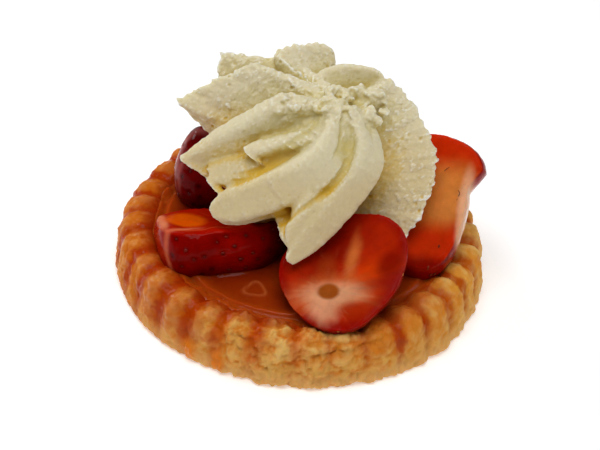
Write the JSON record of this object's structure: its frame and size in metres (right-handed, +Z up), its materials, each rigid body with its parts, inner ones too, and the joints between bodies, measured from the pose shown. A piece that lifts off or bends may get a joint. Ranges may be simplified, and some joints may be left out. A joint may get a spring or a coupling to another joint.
{
  "type": "strawberry tartlet",
  "caption": "Small round strawberry tart: fluted pastry case, clear jelly, cut strawberries and a large piped rosette of whipped cream.",
  "frame": {"origin": "centre of the flat base of the pastry case, on the surface the tart stands on", "axes": "+Z up; the side shown in the picture faces -Y, with +X to its right"},
  "size_m": [0.0815, 0.082, 0.0485],
  "materials": {
    "pastry": "baked shortcrust, crumbly and pale gold, browner in the grooves",
    "jelly": "clear set jelly, glossy orange-red",
    "strawberry": "ripe strawberry under a glossy glaze, orange-red on the cut face",
    "cream": "whipped cream, soft and slightly rough at its torn edges"
  },
  "bodies": {
    "root": {"pastry_case": "pastry", "jelly_glaze": "jelly", "strawberry_front": "strawberry", "strawberry_left": "strawberry", "strawberry_back_left": "strawberry", "strawberry_right": "strawberry", "strawberry_back": "strawberry", "strawberry_back_right": "strawberry", "whipped_cream": "cream"}
  },
  "joints": []
}
